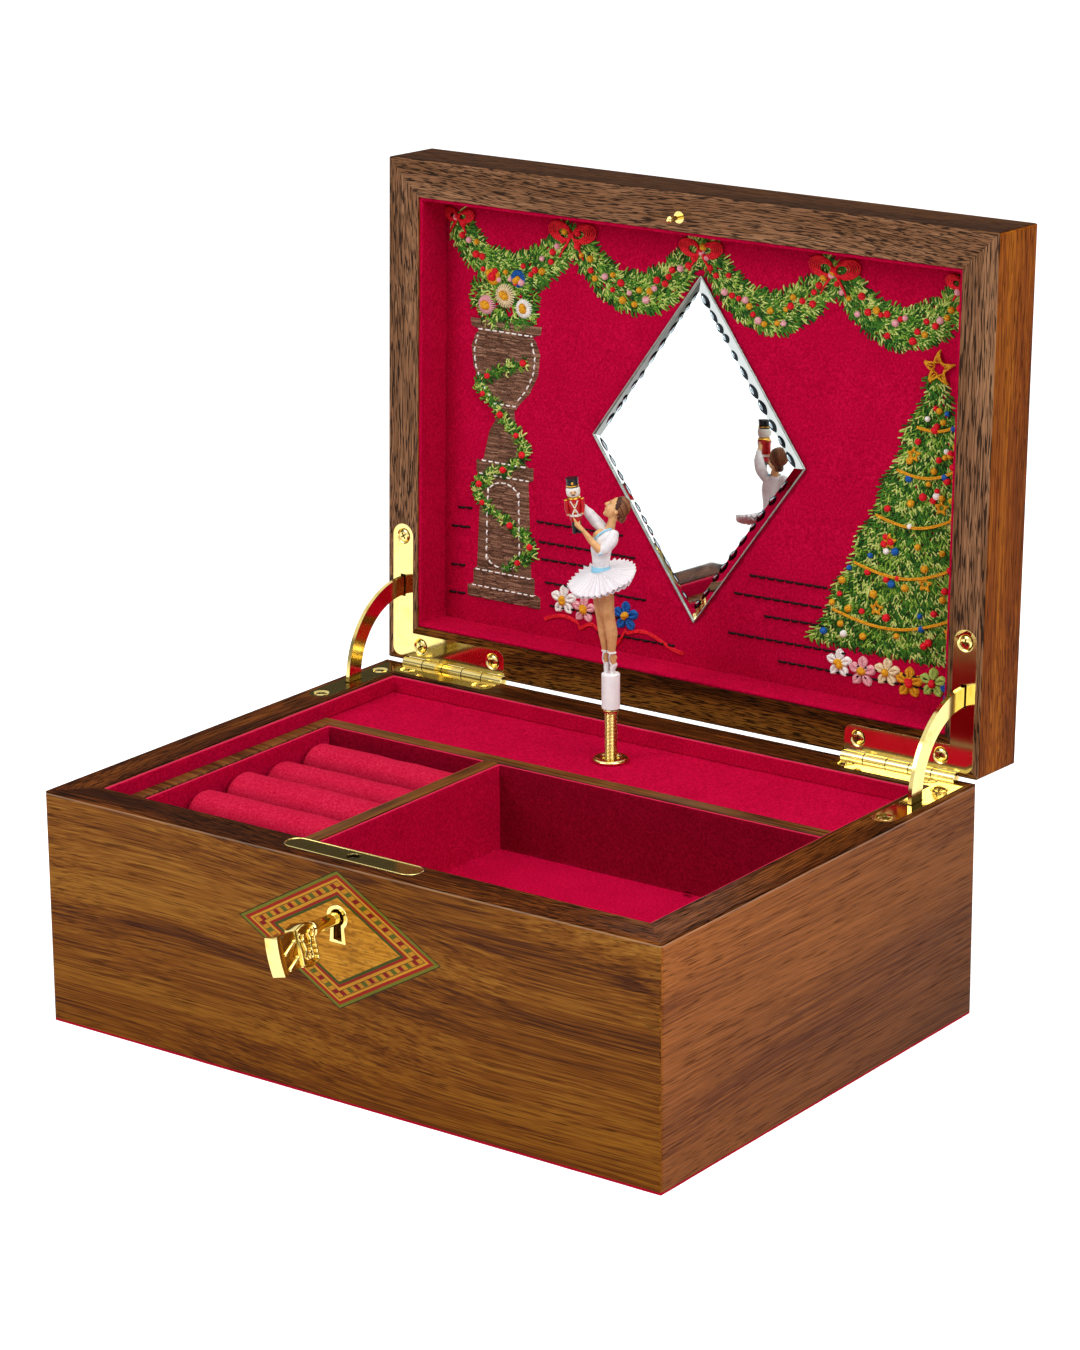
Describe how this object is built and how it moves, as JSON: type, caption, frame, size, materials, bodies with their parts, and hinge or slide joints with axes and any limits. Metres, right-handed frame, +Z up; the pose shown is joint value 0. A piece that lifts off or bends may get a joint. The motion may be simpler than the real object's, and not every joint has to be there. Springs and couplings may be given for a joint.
{
  "type": "musical jewellery box",
  "caption": "Hinged wooden jewellery box with a lined interior, ring rolls, an inside mirror, a lock, and a dancer that turns with a hidden musical movement.",
  "frame": {"origin": "centre of the underside of the case, on the felt", "axes": "X to the right along the front, Y to the rear, Z up"},
  "size_m": [0.24, 0.238, 0.2563],
  "materials": {
    "walnut_front": "satin lacquer",
    "walnut_side": "satin lacquer",
    "plywood": "raw",
    "golden_wood": "satin",
    "suede": "brushed suede",
    "felt": "pressed felt",
    "embroidery": "embroidered",
    "inlay_wood": "satin lacquer",
    "gilt_brass": "polished",
    "clock_brass": "turned",
    "steel": "ground",
    "zinc_casting": "cast",
    "mirror_glass": "bevelled",
    "white_plastic": "moulded",
    "skin_plastic": "painted",
    "tulle": "pleated",
    "red_plastic": "painted"
  },
  "bodies": {
    "case": {"front_panel": "walnut_front", "right_panel": "walnut_side", "rear_panel": "walnut_front", "left_panel": "walnut_side", "base_board": "plywood", "base_felt": "felt", "inlay_banding": "inlay_wood", "inlay_field": "inlay_wood", "keyhole_escutcheon": "gilt_brass", "lock_case": "steel", "lock_plate": "gilt_brass", "case_lining": "suede", "long_divider": "golden_wood", "cross_divider": "golden_wood", "tray_frame": "golden_wood", "compartment_boards": "plywood", "deep_lining": "suede", "ring_tray_lining": "suede", "ring_rolls": "suede", "platform_board": "plywood", "platform_lining": "suede", "platform_eyelet": "gilt_brass", "support_battens": "plywood", "base_hinge_left": "gilt_brass", "base_hinge_right": "gilt_brass", "base_hinge_screws": "gilt_brass", "movement_board": "plywood", "movement_frame": "zinc_casting", "music_comb": "steel"},
    "lid": {"lid_front_rail": "walnut_front", "lid_right_rail": "walnut_side", "lid_rear_rail": "walnut_front", "lid_left_rail": "walnut_side", "lid_top_panel": "walnut_front", "lid_lining": "suede", "embroidered_panel": "embroidery", "lid_mirror": "mirror_glass", "lock_stud": "gilt_brass", "lid_hinge_left": "gilt_brass", "lid_hinge_right": "gilt_brass", "lid_hinge_screws": "gilt_brass", "hinge_pins": "gilt_brass"},
    "left_stay": {"stay_left": "gilt_brass"},
    "right_stay": {"stay_right": "gilt_brass"},
    "bolt": {"lock_bolt": "clock_brass"},
    "key": {"door_key": "gilt_brass"},
    "barrel": {"spring_barrel": "clock_brass"},
    "winder": {"winding_key": "steel"},
    "cylinder": {"music_cylinder": "clock_brass"},
    "governor": {"governor_fan": "steel"},
    "spindle": {"figure_spindle": "clock_brass"},
    "carrier": {"figure_spring": "gilt_brass", "figure_post": "steel"},
    "dancer": {"dancer_stand": "white_plastic", "dancer_legs": "skin_plastic", "dancer_tutu": "tulle", "dancer_bodice": "white_plastic", "dancer_arms": "skin_plastic", "dancer_head": "skin_plastic", "toy_soldier": "red_plastic"}
  },
  "joints": [
    {"name": "lid_hinge", "type": "hinge", "parent": "case", "child": "lid", "pos_m": [0, 0.089, 0.0789], "axis": [1, 0, 0], "range_deg": [0, 91.7]},
    {"name": "left_stay_swing", "type": "hinge", "parent": "case", "child": "left_stay", "pos_m": [0, 0.089, 0.0789], "axis": [1, 0, 0], "range_deg": [0, 59.61]},
    {"name": "right_stay_swing", "type": "hinge", "parent": "case", "child": "right_stay", "pos_m": [0, 0.089, 0.0789], "axis": [1, 0, 0], "range_deg": [0, 59.61]},
    {"name": "dancer_fold", "type": "hinge", "parent": "case", "child": "carrier", "pos_m": [0, 0.0555, 0.082], "axis": [1, 0, 0], "range_deg": [0, 97], "deforming": ["figure_spring"]},
    {"name": "dancer_spin", "type": "hinge", "parent": "carrier", "child": "dancer", "pos_m": [0, 0.0555, 0.082], "axis": [0, 0, 1], "continuous": true},
    {"name": "barrel_turn", "type": "hinge", "parent": "case", "child": "barrel", "pos_m": [-0.01502, 0.0615, 0], "axis": [0, 0, 1], "continuous": true},
    {"name": "winding_turn", "type": "hinge", "parent": "case", "child": "winder", "pos_m": [-0.01502, 0.0615, 0], "axis": [0, 0, 1], "continuous": true},
    {"name": "spindle_turn", "type": "hinge", "parent": "case", "child": "spindle", "pos_m": [0, 0.0555, 0], "axis": [0, 0, 1], "continuous": true},
    {"name": "cylinder_turn", "type": "hinge", "parent": "case", "child": "cylinder", "pos_m": [0, 0.0615, 0.04507], "axis": [1, 0, 0], "continuous": true},
    {"name": "governor_spin", "type": "hinge", "parent": "case", "child": "governor", "pos_m": [0, 0.0615, 0.03603], "axis": [1, 0, 0], "continuous": true},
    {"name": "key_turn", "type": "hinge", "parent": "case", "child": "key", "pos_m": [0, -0.0885, 0.0614], "axis": [0, 1, 0], "range_deg": [0, 180]},
    {"name": "bolt_slide", "type": "slide", "parent": "case", "child": "bolt", "axis": [1, 0, 0], "range_m": [0, 0.004]}
  ],
  "couplings": [
    {"joint": "left_stay_swing", "follows": "lid_hinge", "ratio": 0.65},
    {"joint": "right_stay_swing", "follows": "lid_hinge", "ratio": 0.65},
    {"joint": "dancer_fold", "follows": "lid_hinge", "ratio": 1.0577},
    {"joint": "dancer_spin", "follows": "barrel_turn", "ratio": -2.9091},
    {"joint": "spindle_turn", "follows": "barrel_turn", "ratio": -2.9091},
    {"joint": "cylinder_turn", "follows": "barrel_turn", "ratio": -3.2},
    {"joint": "governor_spin", "follows": "barrel_turn", "ratio": 12.8},
    {"joint": "bolt_slide", "follows": "key_turn", "m_per_rad": 0.0012732}
  ]
}
